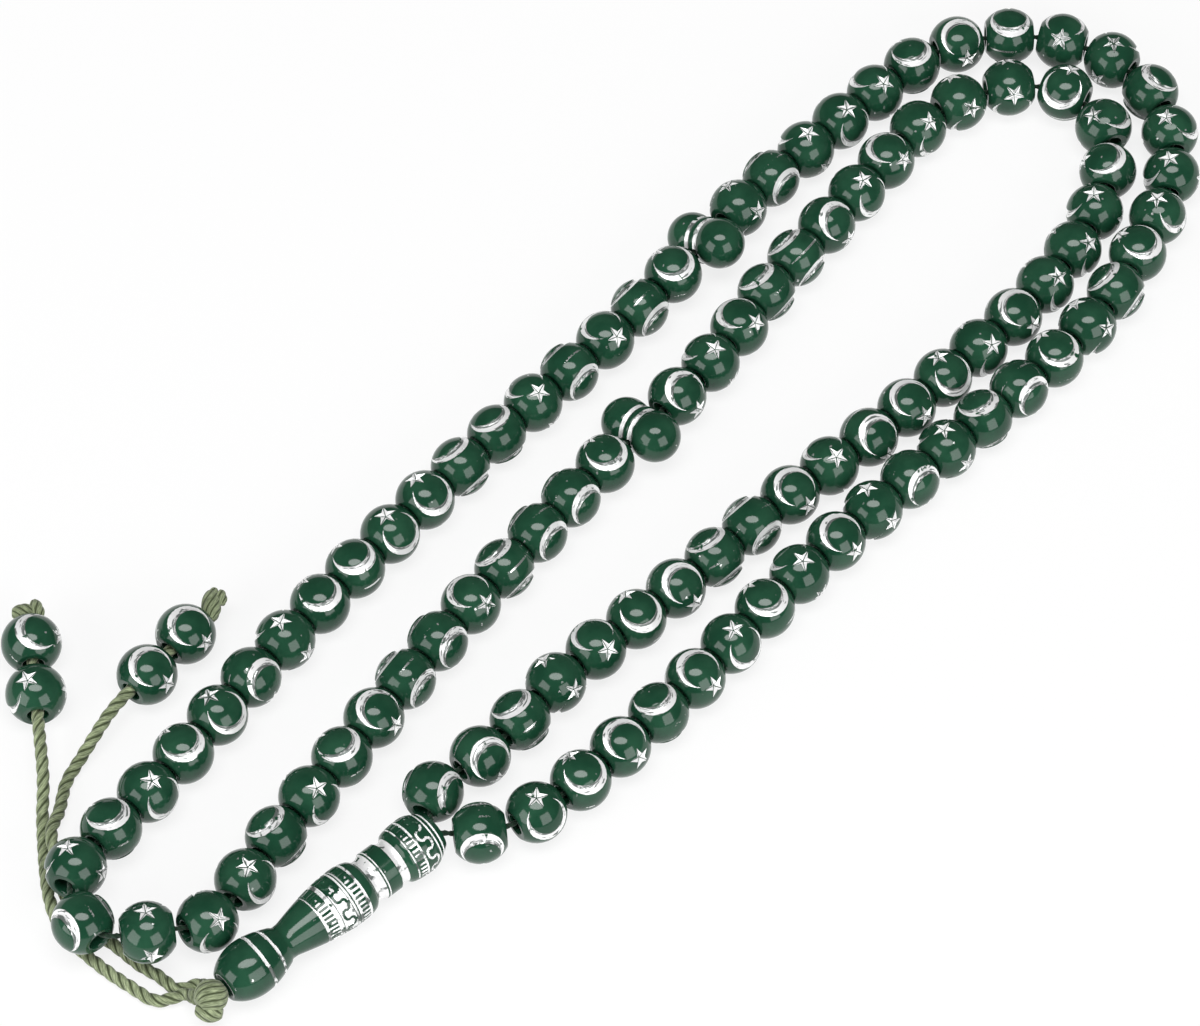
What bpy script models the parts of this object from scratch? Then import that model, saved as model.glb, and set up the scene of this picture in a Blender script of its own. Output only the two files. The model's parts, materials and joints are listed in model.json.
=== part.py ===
"""Misbaha prayer beads laid out on a table, as an assembly of separate pieces.

Ninety-nine bored beads hang on one string, in three groups parted by two dumbbell markers.
Both ends of the string run through the imame, the turned head piece, to a knot at its foot,
where two twisted tail cords start, each with two more beads and an end knot.
Metres, +Z up. The strand lies on the plane z = 0, with its long direction along X.
"""
import math

import bpy
import numpy as np
from mathutils import Matrix, Vector

MM = 0.001
CLEARANCE = 0.0003

# Beads: balls cut flat at both ends of the bore
BEAD_DIAMETER = 0.008
BEAD_LENGTH = 0.00675
BEAD_BORE = 0.0027
BEADS_IN_GROUP = 33
GROUPS = 3

# String: one thin thread, in runs with the beads that are fused to it.
# Every other bead at the start of a run is a free one of its own.
STRING_DIAMETER = 0.0008
RUNS_PER_GROUP = 2
FREE_BEADS_PER_RUN = 7

# Markers: two balls on a ringed neck, which the string crosses
MARKER_BALL_DIAMETER = 0.007
MARKER_GROOVE_DIAMETER = 0.0061
MARKER_GROOVE_LENGTH = 0.0004
MARKER_RING_DIAMETER = 0.0066
MARKER_RING_LENGTH = 0.001
MARKER_BORE = 0.002

# Imame: a foot ball, a flared body, a collar between two coves and a barrel head, on one bore
IMAME_BORE = 0.003
FOOT_DIAMETER = 0.0077
FOOT_FACE_DIAMETER = 0.0044
FOOT_LENGTH = 0.009
WAIST_DIAMETER = 0.0048
WAIST_LENGTH = 0.0011
BODY_DIAMETER = 0.0079
BODY_FLARE_LENGTH = 0.0097
SHOULDER_DIAMETER = 0.0063
SHOULDER_LENGTH = 0.0026
COVE_DIAMETER = 0.0059
COVE_LENGTH = 0.0017
COLLAR_DIAMETER = 0.0068
COLLAR_LENGTH = 0.0021
HEAD_ROOT_DIAMETER = 0.007
HEAD_DIAMETER = 0.008
HEAD_RISE_LENGTH = 0.0031
HEAD_CROWN_LENGTH = 0.0031
HEAD_FACE_DIAMETER = 0.0052

# Tails: twisted cord, knotted at the imame's foot and at each end
TAIL_CORD_DIAMETER = 0.0015
TAIL_BEAD_GAP = 0.0011
TAIL_BEAD_SLIDE = 0.004
FOOT_KNOT_DIAMETER = 0.0042
FOOT_KNOT_LENGTH = 0.0044
END_KNOT_DIAMETER = 0.0042
END_KNOT_LENGTH = 0.004

# The string's route in mm, from the imame's head round to it again, drawn for beads of this size.
# The third value lifts the strand: 1 is over a tail cord that lies under it.
ROUTE_BEAD_DIAMETER = 0.008
STRING_ROUTE = [
    (-56.9, -18.4, 0), (-53.2, -22.2, 0), (-47.0, -24.9, 0), (-40.0, -25.7, 0), (-25.0, -25.7, 0),
    (-10.0, -24.9, 0), (4.5, -23.7, 0), (19.0, -23.6, 0), (33.5, -23.8, 0), (48.0, -24.0, 0),
    (62.5, -23.4, 0), (70.0, -21.9, 0), (77.3, -19.5, 0), (84.3, -17.0, 0), (91.0, -12.9, 0),
    (95.7, -7.5, 0), (98.5, -0.5, 0), (98.2, 7.1, 0), (95.0, 14.3, 0), (89.8, 19.9, 0),
    (82.4, 23.7, 0), (74.3, 24.8, 0), (60.0, 24.8, 0), (47.0, 24.5, 0.1), (33.2, 23.0, 0.35),
    (19.5, 21.7, 0.1), (5.0, 21.0, 0), (-9.5, 20.6, 0), (-24.0, 19.6, 0), (-39.0, 18.1, 0),
    (-53.0, 16.4, 0), (-67.5, 14.0, 0), (-82.0, 11.8, 0.1), (-89.3, 10.7, 0.5), (-96.0, 7.9, 1),
    (-98.2, 0.8, 1), (-92.8, -4.5, 1), (-85.8, -7.7, 0.3), (-79.0, -6.1, 0), (-64.0, -2.7, 0),
    (-50.0, 0.0, 0), (-36.0, 2.6, 0), (-21.5, 4.6, 0), (-7.0, 6.3, 0.1), (7.1, 7.4, 0.12),
    (20.7, 8.5, 0.1), (35.0, 11.6, 0), (49.0, 13.6, 0), (63.0, 15.5, 0), (71.0, 16.2, 0),
    (78.5, 15.1, 0), (85.2, 11.7, 0), (89.6, 5.5, 0), (88.8, -1.8, 0), (83.8, -7.3, 0),
    (77.2, -10.9, 0), (70.3, -13.2, 0), (56.0, -15.3, 0), (41.5, -15.5, 0), (26.5, -15.1, 0),
    (12.5, -14.1, 0), (-3.0, -13.9, 0), (-17.5, -13.4, 0), (-32.0, -13.1, 0), (-46.5, -13.9, 0),
    (-53.2, -13.6, 0), (-56.9, -17.3, 0),
]

# The tail cords' routes in mm, from the foot knot to where each runs straight to its beads.
# The third value lifts the cord: 0 lies on the table, 1 is at the height of a bead's bore.
TAIL_ROUTES = {
    "left": [
        (-97.4, -10.0, 0.06), (-98.4, -7.0, 0), (-99.0, -3.6, 0), (-99.4, 0.0, 0), (-99.5, 3.7, 0),
        (-99.0, 7.3, 0), (-97.4, 10.9, 0), (-95.1, 14.3, 0), (-93.0, 17.0, 0), (-91.2, 19.2, 0.05),
        (-89.6, 21.0, 0.17), (-88.0, 22.6, 0.38), (-86.5, 24.2, 0.7),
    ],
    "right": [
        (-94.6, -10.5, 0.1), (-95.0, -7.8, 0), (-95.6, -4.9, 0), (-95.9, -1.6, 0), (-96.3, 2.0, 0),
        (-96.6, 5.6, 0), (-96.0, 8.9, 0), (-94.8, 11.5, 0), (-93.6, 13.4, 0.2), (-92.5, 15.5, 0.49),
        (-90.9, 17.6, 0.49), (-88.7, 19.0, 0.26), (-86.3, 20.9, 0.08), (-83.9, 22.5, 0.04),
        (-81.9, 23.1, 0.14), (-79.9, 23.5, 0.38), (-77.9, 23.8, 0.7),
    ],
}
TAIL_BEAD_PLACES = {"left": (-79.4, 33.5), "right": (-67.2, 25.5)}
TAIL_BEAD_HEADINGS_DEG = {"left": 53.0, "right": 8.0}

BEAD_SIDES = 8
TURNED_SIDES = 14
ROUTE_STEP = 0.05 * MM
FACE_STEP = 0.02 * MM
UP = Vector((0, 0, 1))

bead_radius = BEAD_DIAMETER / 2
bead_half = BEAD_LENGTH / 2
string_radius = STRING_DIAMETER / 2
cord_radius = TAIL_CORD_DIAMETER / 2
strand_lift = TAIL_CORD_DIAMETER + 2 * CLEARANCE
bead_count = BEADS_IN_GROUP * GROUPS

for item in list(bpy.data.objects):
    bpy.data.objects.remove(item)

parts = bpy.data.collections.new("misbaha_prayer_beads")
cutters = bpy.data.collections.new("cutters")
for collection in (parts, cutters):
    bpy.context.scene.collection.children.link(collection)


def plain_material(name, colour, roughness):
    """Give a Principled material of one colour."""
    material = bpy.data.materials.new(name)
    material.use_nodes = True
    shader = material.node_tree.nodes["Principled BSDF"]
    shader.inputs["Base Color"].default_value = (*colour, 1.0)
    shader.inputs["Roughness"].default_value = roughness
    return material


bead_green = plain_material("bead_green", (0.012, 0.070, 0.035), 0.18)
cord_olive = plain_material("cord_olive", (0.270, 0.320, 0.150), 0.85)


def add_part(name, data, matrix=None):
    """Add one piece to the assembly, at its place."""
    piece = bpy.data.objects.new(name, data)
    parts.objects.link(piece)
    if matrix is not None:
        piece.matrix_world = matrix
    return piece


def placed(place, z_axis, x_axis):
    """Give the matrix of a piece at place, with its Z axis along z_axis and its X axis near x_axis."""
    z_axis = z_axis.normalized()
    x_axis = (x_axis - z_axis * x_axis.dot(z_axis)).normalized()
    turned = Matrix((x_axis, z_axis.cross(x_axis), z_axis)).transposed()
    return Matrix.Translation(place) @ turned.to_4x4()


def half_section(name, profile, material, bored):
    """Draw a turned piece's half section through (radius, height) points that run down its outside."""
    mesh = bpy.data.meshes.new(name)
    count = len(profile)
    edges = [(i, (i + 1) % count) for i in range(count if bored else count - 1)]
    mesh.from_pydata([(radius, 0.0, height) for radius, height in profile], edges, [])
    mesh.materials.append(material)
    return mesh


def turn(piece, sides):
    """Spin a piece's half section about its own Z axis."""
    screw = piece.modifiers.new("turn", "SCREW")
    screw.steps = sides
    screw.render_steps = sides
    screw.use_merge_vertices = True
    screw.merge_threshold = 0.00001


def tube(name, points, material):
    """Make a round tube through (place, radius) points, closed at both ends."""
    curve = bpy.data.curves.new(name, "CURVE")
    curve.dimensions = "3D"
    curve.bevel_depth = MM
    curve.bevel_resolution = 2
    curve.use_fill_caps = True
    spline = curve.splines.new("POLY")
    spline.points.add(len(points) - 1)
    for point, (place, radius) in zip(spline.points, points):
        point.co = (*place, 1.0)
        point.radius = radius / MM
    curve.materials.append(material)
    return add_part(name, curve)


def smooth_route(points, step):
    """Sample the natural cubic curve through points, at even steps."""
    points = np.array(points)
    span = np.linalg.norm(np.diff(points, axis=0), axis=1)
    mark = np.concatenate(([0.0], np.cumsum(span)))
    slope = np.diff(points, axis=0) / span[:, None]
    system = np.eye(len(points))
    pull = np.zeros_like(points)
    for i in range(1, len(points) - 1):
        system[i, i - 1:i + 2] = span[i - 1], 2 * (span[i - 1] + span[i]), span[i]
        pull[i] = 6 * (slope[i] - slope[i - 1])
    bend = np.linalg.solve(system, pull)
    along = np.linspace(0, mark[-1], int(mark[-1] / step) + 1)
    k = np.clip(np.searchsorted(mark, along, side="right") - 1, 0, len(span) - 1)
    ahead = ((along - mark[k]) / span[k])[:, None]
    behind = 1 - ahead
    straight = behind * points[k] + ahead * points[k + 1]
    sway = (behind ** 3 - behind) * bend[k] + (ahead ** 3 - ahead) * bend[k + 1]
    return straight + sway * span[k][:, None] ** 2 / 6


# The marker's half section, which also sets how far apart its neighbours on the string sit
ball_radius = MARKER_BALL_DIAMETER / 2
groove_radius = MARKER_GROOVE_DIAMETER / 2
ring_radius = MARKER_RING_DIAMETER / 2
ring_half = MARKER_RING_LENGTH / 2
ball_height = ring_half + MARKER_GROOVE_LENGTH + math.sqrt(ball_radius ** 2 - groove_radius ** 2)
ball_end_angle = math.pi - math.asin(groove_radius / ball_radius)
upper_ball = [
    (ball_radius * math.sin(angle), ball_height + ball_radius * math.cos(angle))
    for angle in np.linspace(0, ball_end_angle, 7)
]
upper_half = upper_ball + [(groove_radius, ring_half), (ring_radius, ring_half)]
marker_profile = upper_half + [(radius, -height) for radius, height in reversed(upper_half)]
marker_reach = math.sqrt((ball_radius + bead_radius + CLEARANCE) ** 2 - ball_height ** 2)


def lay_string(scale):
    """Lay the string's route out at a scale: its points, its directions and its first and last bead."""
    points = [
        (x * MM * scale, y * MM * scale, bead_radius + lift * strand_lift)
        for x, y, lift in STRING_ROUTE
    ]
    path = smooth_route(points, ROUTE_STEP)
    path[:, 2] = np.maximum(path[:, 2], bead_radius)
    ways = np.gradient(path, axis=0)
    ways /= np.linalg.norm(ways, axis=1)[:, None]
    first, last = (int(np.argmin(np.linalg.norm(path - points[i], axis=1))) for i in (1, -2))
    return path, ways, first, last


def next_bead(path, ways, here, gap):
    """Find the next bead's station: the nearest where the two flat ends keep a gap, also in a bend."""
    reach = slice(here + 1, here + 1 + int(2 * BEAD_DIAMETER / ROUTE_STEP))
    chord = path[reach] - path[here]
    distance = np.linalg.norm(chord, axis=1)
    heading = chord / distance[:, None]
    cosine = np.minimum(heading @ ways[here], np.sum(heading * ways[reach], axis=1)).clip(0, 1)
    meeting_radius = np.sqrt(np.maximum(0, bead_radius ** 2 - distance ** 2 / 4))
    inner_edge = distance / 2 * cosine - meeting_radius * np.sqrt(1 - cosine ** 2)
    clear = (inner_edge >= bead_half + gap / 2) | (distance >= BEAD_DIAMETER + gap)
    return here + 1 + int(np.argmax(clear)) if clear.any() else None


def at_distance(path, here, distance):
    """Find the next station that lies a straight distance away."""
    far = np.linalg.norm(path[here:] - path[here], axis=1) >= distance
    return here + int(np.argmax(far)) if far.any() else None


def thread(path, ways, first, gap):
    """Thread every bead and marker along the string, or give None where the string is too short."""
    beads = [first]
    markers = []
    while len(beads) < bead_count:
        here = beads[-1]
        if len(beads) % BEADS_IN_GROUP == 0:
            here = at_distance(path, here, marker_reach)
            markers.append(here)
            here = None if here is None else at_distance(path, here, marker_reach)
        else:
            here = next_bead(path, ways, here, gap)
        if here is None:
            return None
        beads.append(here)
    return beads, markers


# Find the layout's scale, then share the string's spare length between the beads
layout_scale = BEAD_DIAMETER / ROUTE_BEAD_DIAMETER
while True:
    path, ways, first_station, last_station = lay_string(layout_scale)
    threaded = thread(path, ways, first_station, CLEARANCE)
    if threaded and threaded[0][-1] <= last_station:
        break
    layout_scale *= 1.005
low_gap = CLEARANCE
high_gap = BEAD_LENGTH
for _ in range(24):
    gap = (low_gap + high_gap) / 2
    threaded = thread(path, ways, first_station, gap)
    if threaded and threaded[0][-1] <= last_station:
        low_gap = gap
    else:
        high_gap = gap
bead_stations, marker_stations = thread(path, ways, first_station, low_gap)


def station(index):
    """Give a station's place and the string's direction there."""
    return Vector(path[index]), Vector(ways[index])


# Imame: its half section, from the head's face down to the foot's face, then up the bore
foot_radius = FOOT_DIAMETER / 2
waist_radius = WAIST_DIAMETER / 2
body_radius = BODY_DIAMETER / 2
shoulder_radius = SHOULDER_DIAMETER / 2
cove_radius = COVE_DIAMETER / 2
collar_radius = COLLAR_DIAMETER / 2
head_root_radius = HEAD_ROOT_DIAMETER / 2
head_radius = HEAD_DIAMETER / 2
head_face_radius = HEAD_FACE_DIAMETER / 2
foot_face_radius = FOOT_FACE_DIAMETER / 2
imame_bore_radius = IMAME_BORE / 2
waist_start = FOOT_LENGTH
flare_start = waist_start + WAIST_LENGTH
body_widest = flare_start + BODY_FLARE_LENGTH
shoulder_end = body_widest + SHOULDER_LENGTH
collar_start = shoulder_end + COVE_LENGTH
collar_end = collar_start + COLLAR_LENGTH
head_start = collar_end + COVE_LENGTH
head_widest = head_start + HEAD_RISE_LENGTH
imame_length = head_widest + HEAD_CROWN_LENGTH

# The foot is an egg between its face and the waist, widest where the two halves of its curve meet
face_swing = math.acos(foot_face_radius / foot_radius)
waist_swing = math.acos(waist_radius / foot_radius)
foot_half = FOOT_LENGTH / (math.sin(face_swing) + math.sin(waist_swing))
foot_widest = foot_half * math.sin(face_swing)

imame_profile = []
for share in (1.0, 0.8, 0.55, 0.3):
    swell = math.cos(share * math.pi / 2)
    radius = head_face_radius + (head_radius - head_face_radius) * swell
    imame_profile.append((radius, head_widest + HEAD_CROWN_LENGTH * share))
for share in (0.0, 0.5, 1.0):
    swell = math.sqrt(1 - share ** 2)
    radius = head_root_radius + (head_radius - head_root_radius) * swell
    imame_profile.append((radius, head_widest - HEAD_RISE_LENGTH * share))
imame_profile += [
    (cove_radius, head_start - COVE_LENGTH / 2),
    (collar_radius, collar_end),
    (collar_radius, collar_start),
    (cove_radius, collar_start - COVE_LENGTH / 2),
]
for share in (1.0, 0.6, 0.0):
    swell = math.sqrt(1 - share ** 2)
    radius = shoulder_radius + (body_radius - shoulder_radius) * swell
    imame_profile.append((radius, body_widest + SHOULDER_LENGTH * share))
for share in (0.75, 0.5, 0.25, 0.0):
    swell = math.sin(share * math.pi / 2)
    radius = waist_radius + (body_radius - waist_radius) * swell
    imame_profile.append((radius, flare_start + BODY_FLARE_LENGTH * share))
for swing in np.linspace(waist_swing, -face_swing, 8):
    imame_profile.append((foot_radius * math.cos(swing), foot_widest + foot_half * math.sin(swing)))
imame_profile += [(imame_bore_radius, 0.0), (imame_bore_radius, imame_length)]

# The head's face sits just behind the string's two ends, and the foot leans on the strand beside it
string_ends = (Vector(path[0]), Vector(path[-1]))
head_place = (string_ends[0] + string_ends[1]) / 2
head_place.z = max(head_place.z, head_radius)
imame_heading = math.radians(170)
while True:
    level = Vector((math.cos(imame_heading), math.sin(imame_heading), 0.0))
    foot_place = head_place + level * (imame_length + CLEARANCE - foot_widest)
    foot_place.z = max(foot_radius, head_place.z)
    if np.linalg.norm(path - foot_place, axis=1).min() >= foot_radius + bead_radius + CLEARANCE:
        break
    imame_heading += math.radians(0.1)
imame_axis = (head_place - foot_place).normalized()
imame_origin = head_place - imame_axis * (imame_length + CLEARANCE)
imame = add_part(
    "imame",
    half_section("imame", imame_profile, bead_green, bored=True),
    placed(imame_origin, imame_axis, UP),
)
turn(imame, TURNED_SIDES)

# String runs: the thread with the beads that are fused to it, cut between two beads
bead_shoulder = math.radians(55)
bead_outline = [
    (-bead_half, math.sqrt(bead_radius ** 2 - bead_half ** 2)),
    (-bead_radius * math.cos(bead_shoulder), bead_radius * math.sin(bead_shoulder)),
    (0.0, bead_radius),
    (bead_radius * math.cos(bead_shoulder), bead_radius * math.sin(bead_shoulder)),
    (bead_half, math.sqrt(bead_radius ** 2 - bead_half ** 2)),
]
inside_imame = [imame_origin + (end - head_place) + imame_axis * CLEARANCE for end in string_ends]


def fused_bead(index, thread_before, thread_after):
    """Give the tube points of one bead on the string, with the thread at either face."""
    place, way = station(bead_stations[index])
    points = [(place + way * offset, radius) for offset, radius in bead_outline]
    if thread_before:
        points.insert(0, (place - way * (bead_half + FACE_STEP), string_radius))
    if thread_after:
        points.append((place + way * (bead_half + FACE_STEP), string_radius))
    return points


def thread_in_bore(index):
    """Give the thread's points in a free bead, or none where the string is near enough straight."""
    place, way = station(bead_stations[index])
    before, after = (Vector(path[bead_stations[index + step]]) for step in (-1, 1))
    sag = (place - (before + after) / 2).length
    if sag < (BEAD_BORE - STRING_DIAMETER) / 10:
        return []
    return [(place + way * offset, string_radius) for offset in (-bead_half, bead_half)]


def string_run(number, start, end):
    """Make one run of the string, from bead start up to bead end, and give its free beads."""
    free = list(range(start + 1, min(end - 1, start + 1 + 2 * FREE_BEADS_PER_RUN), 2))
    at_head = start == 0
    at_marker = end % BEADS_IN_GROUP == 0 and end < bead_count
    at_tail = end == bead_count
    points = []
    if at_head:
        points += [(inside_imame[0], string_radius), (string_ends[0], string_radius)]
    for index in range(start, end):
        if index in free:
            points += thread_in_bore(index)
        else:
            thread_before = index > start or at_head
            thread_after = index < end - 1 or at_marker or at_tail
            points += fused_bead(index, thread_before, thread_after)
    if at_marker:
        place, way = station(bead_stations[end])
        points.append((station(marker_stations[end // BEADS_IN_GROUP - 1])[0], string_radius))
        points.append((place - way * (bead_half + CLEARANCE), string_radius))
    if at_tail:
        points += [(string_ends[1], string_radius), (inside_imame[1], string_radius)]
    tube(f"string_run_{number}", points, bead_green)
    return free


free_beads = []
run_count = GROUPS * RUNS_PER_GROUP
for run in range(run_count):
    group, place_in_group = divmod(run, RUNS_PER_GROUP)
    bounds = [
        group * BEADS_IN_GROUP + math.ceil(BEADS_IN_GROUP * cut / RUNS_PER_GROUP)
        for cut in (place_in_group, place_in_group + 1)
    ]
    free_beads += string_run(run + 1, *bounds)

# Free beads: turned balls with a through bore, numbered from the imame as they are counted
bore_radius = BEAD_BORE / 2
bead_profile = [(radius, -offset) for offset, radius in bead_outline]
bead_profile += [(bore_radius, -bead_half), (bore_radius, bead_half)]
bead_mesh = half_section("bead", bead_profile, bead_green, bored=True)


def add_bead(name, place, way):
    """Put one bored bead on a string or a cord that runs along way."""
    bead = add_part(name, bead_mesh, placed(place, way, UP))
    turn(bead, BEAD_SIDES)


for index in free_beads:
    add_bead(f"bead_{index + 1:02d}", *station(bead_stations[index]))

# Markers: each lies across the string on its lower ball, and the string passes through its ring
for number, marker_station in enumerate(marker_stations, start=1):
    place, way = station(marker_station)
    tilt = math.asin(min(1.0, (place.z - ball_radius) / ball_height))
    across = way.cross(UP).normalized()
    if across.y > 0:
        across = -across
    long_axis = across * math.cos(tilt) + UP * math.sin(tilt)
    marker_frame = placed(place, long_axis, way)
    name = f"marker_{number}"
    marker = add_part(name, half_section(name, marker_profile, bead_green, bored=False), marker_frame)
    turn(marker, TURNED_SIDES)
    bpy.ops.mesh.primitive_cylinder_add(
        vertices=TURNED_SIDES, radius=MARKER_BORE / 2, depth=2 * MARKER_BALL_DIAMETER
    )
    cutter = bpy.context.object
    cutter.name = f"marker_bore_{number}"
    for collection in cutter.users_collection:
        collection.objects.unlink(cutter)
    cutters.objects.link(cutter)
    cutter.matrix_world = marker_frame @ Matrix.Rotation(math.pi / 2, 4, "Y")
    cutter.hide_render = True
    cutter.display_type = "WIRE"
    bore = marker.modifiers.new("string_bore", "BOOLEAN")
    bore.operation = "DIFFERENCE"
    bore.object = cutter


def add_knot(name, place, axis, diameter, length):
    """Make a knot as two drawn-tight wraps of cord, from place along axis."""
    wrap = diameter / 2
    dip = wrap - cord_radius / 3
    neck = cord_radius
    profile = [
        (0.0, length), (neck, length), (wrap * 0.9, length * 0.88), (wrap, length * 0.72),
        (dip, length * 0.5), (wrap, length * 0.28), (wrap * 0.9, length * 0.12), (neck, 0.0), (0.0, 0.0),
    ]
    knot = add_part(name, half_section(name, profile, cord_olive, bored=False), placed(place, axis, UP))
    turn(knot, BEAD_SIDES)


foot_knot_place = imame_origin - imame_axis * CLEARANCE
add_knot("foot_knot", foot_knot_place, -imame_axis, FOOT_KNOT_DIAMETER, FOOT_KNOT_LENGTH)

# Tails: each cord leaves the side of the foot knot, lies on the table and ends in its knot
knot_middle = foot_knot_place - imame_axis * (FOOT_KNOT_LENGTH / 2)
knot_side = imame_axis.cross(UP).normalized()
if knot_side.y < 0:
    knot_side = -knot_side
cord_leaves = (knot_side * math.cos(math.radians(35)) - UP * math.sin(math.radians(35))).normalized()
cord_spread = (TAIL_CORD_DIAMETER + 2 * CLEARANCE) / 2
for side, spread in (("left", -cord_spread), ("right", cord_spread)):
    cord_start = knot_middle + imame_axis * spread + cord_leaves * (FOOT_KNOT_DIAMETER / 2 + CLEARANCE)
    heading = math.radians(TAIL_BEAD_HEADINGS_DEG[side])
    way = Vector((math.cos(heading), math.sin(heading), 0.0))
    bead_x, bead_y = TAIL_BEAD_PLACES[side]
    inner_bead = Vector((bead_x * MM * layout_scale, bead_y * MM * layout_scale, bead_radius))
    outer_bead = inner_bead + way * (BEAD_LENGTH + TAIL_BEAD_GAP)
    cord_end = outer_bead + way * bead_half
    straight_start = inner_bead - way * (bead_half + TAIL_BEAD_SLIDE + CLEARANCE)
    on_table = [
        (
            x * MM * layout_scale,
            y * MM * layout_scale,
            cord_radius + lift * (bead_radius - cord_radius),
        )
        for x, y, lift in TAIL_ROUTES[side]
    ]
    route = [cord_start, cord_start + cord_leaves * TAIL_CORD_DIAMETER]
    route += on_table + [straight_start, inner_bead, cord_end]
    cord_path = smooth_route(route, 2.5 * TAIL_CORD_DIAMETER)
    cord_path[:, 2] = np.maximum(cord_path[:, 2], cord_radius)
    tube(f"tail_cord_{side}", [(place, cord_radius) for place in cord_path], cord_olive)
    add_bead(f"tail_bead_{side}_inner", inner_bead, way)
    add_bead(f"tail_bead_{side}_outer", outer_bead, way)
    add_knot(f"end_knot_{side}", cord_end + way * CLEARANCE, way, END_KNOT_DIAMETER, END_KNOT_LENGTH)
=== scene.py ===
"""Looks of a strand of misbaha prayer beads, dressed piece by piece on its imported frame."""

import json
import math

import bpy
import numpy as np
from mathutils import Matrix, Vector
from mathutils.geometry import delaunay_2d_cdt


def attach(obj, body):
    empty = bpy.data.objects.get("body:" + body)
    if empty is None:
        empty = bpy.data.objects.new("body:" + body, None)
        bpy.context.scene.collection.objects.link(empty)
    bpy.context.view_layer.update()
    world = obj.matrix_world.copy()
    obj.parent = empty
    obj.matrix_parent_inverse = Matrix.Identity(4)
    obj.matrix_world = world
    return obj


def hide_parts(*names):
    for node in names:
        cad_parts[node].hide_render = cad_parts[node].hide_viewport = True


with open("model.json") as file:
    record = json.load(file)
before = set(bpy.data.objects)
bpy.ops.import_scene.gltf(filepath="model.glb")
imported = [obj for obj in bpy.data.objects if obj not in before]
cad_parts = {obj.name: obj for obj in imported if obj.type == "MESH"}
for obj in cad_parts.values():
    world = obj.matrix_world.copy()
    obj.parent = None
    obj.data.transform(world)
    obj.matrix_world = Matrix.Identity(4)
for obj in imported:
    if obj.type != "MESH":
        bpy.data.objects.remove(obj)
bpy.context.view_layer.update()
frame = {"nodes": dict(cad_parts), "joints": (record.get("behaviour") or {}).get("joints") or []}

# Camera
# The photograph looks down on one corner of the folded strand through a long lens.
# The table it lies on fills the frame.
MM = 0.001
UP = Vector((0, 0, 1))
CAMERA_AIM = Vector((-5.65, 3.66, 0.0)) * MM
CAMERA_HEADING = math.radians(45)
CAMERA_ELEVATION = math.radians(56)
CAMERA_DISTANCE = 663.5 * MM
CAMERA_LENS = 148.5

camera_level = Vector((math.cos(CAMERA_HEADING), math.sin(CAMERA_HEADING), 0.0))
camera_look = camera_level * math.cos(CAMERA_ELEVATION) - UP * math.sin(CAMERA_ELEVATION)
camera_right = camera_look.cross(UP).normalized()
camera_up = camera_right.cross(camera_look)
camera = bpy.data.objects.new("camera", bpy.data.cameras.new("camera"))
camera.data.lens = CAMERA_LENS
camera.data.clip_start = 10 * MM
camera_turn = Matrix((camera_right, camera_up, -camera_look)).transposed().to_4x4()
camera.matrix_world = Matrix.Translation(CAMERA_AIM - camera_look * CAMERA_DISTANCE) @ camera_turn
bpy.context.scene.collection.objects.link(camera)
bpy.context.scene.camera = camera
bpy.context.scene.view_settings.view_transform = "Standard"


# Table and studio
# A white table top under soft light: one oval softbox overhead and two tall ones in front.
# A dim world fills the shadows.
class Shade:
    """A value in a material's nodes, so that shader maths is written as plain Python."""

    def __init__(self, tree, socket=None):
        self.tree = tree
        self.socket = socket

    def node(self, kind, settings, inputs, output=0):
        """Add a node: first its settings, then its sockets' values or links. Give one of its outputs."""
        node = self.tree.nodes.new(kind)
        for key, value in settings.items():
            setattr(node, key, value)
        for key, value in inputs.items():
            if isinstance(value, Shade):
                self.tree.links.new(value.socket, node.inputs[key])
            else:
                node.inputs[key].default_value = value
        return Shade(self.tree, node.outputs[output])

    def into(self, node, key):
        """Feed this value to a socket of a shader."""
        self.tree.links.new(self.socket, node.inputs[key])

    def math(self, operation, *values):
        """Add a Math node on these values."""
        return self.node("ShaderNodeMath", {"operation": operation}, dict(enumerate(values)))

    def __add__(self, other):
        return self.math("ADD", self, other)

    def __radd__(self, other):
        return self.math("ADD", other, self)

    def __sub__(self, other):
        return self.math("SUBTRACT", self, other)

    def __rsub__(self, other):
        return self.math("SUBTRACT", other, self)

    def __mul__(self, other):
        return self.math("MULTIPLY", self, other)

    def __rmul__(self, other):
        return self.math("MULTIPLY", other, self)

    def step(self, low, high):
        """Rise smoothly from 0 at low to 1 at high."""
        limits = {"Value": self, "From Min": low, "From Max": high}
        return self.node("ShaderNodeMapRange", {"interpolation_type": "SMOOTHSTEP"}, limits)

    def blend(self, low, high):
        """Mix two colours by this value: low at 0, high at 1."""
        return self.node("ShaderNodeMix", {"data_type": "RGBA"}, {0: self, 6: low, 7: high}, 2)

    def stretch(self, *scales):
        """Scale a vector by a number on each axis."""
        return self.node("ShaderNodeVectorMath", {"operation": "MULTIPLY"}, {0: self, 1: scales})

    def noise(self, scale, detail):
        """Give soft noise around 0.5 over this vector."""
        return self.node("ShaderNodeTexNoise", {}, {"Vector": self, "Scale": scale, "Detail": detail})

    def bump(self, strength, distance):
        """Give the normal of a surface with this height on it."""
        inputs = {"Strength": strength, "Distance": distance, "Height": self}
        return self.node("ShaderNodeBump", {}, inputs)


def new_material(name):
    """Give a new material, a start for its shader maths and its Principled shader."""
    material = bpy.data.materials.new(name)
    material.use_nodes = True
    return material, Shade(material.node_tree), material.node_tree.nodes["Principled BSDF"]


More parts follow.
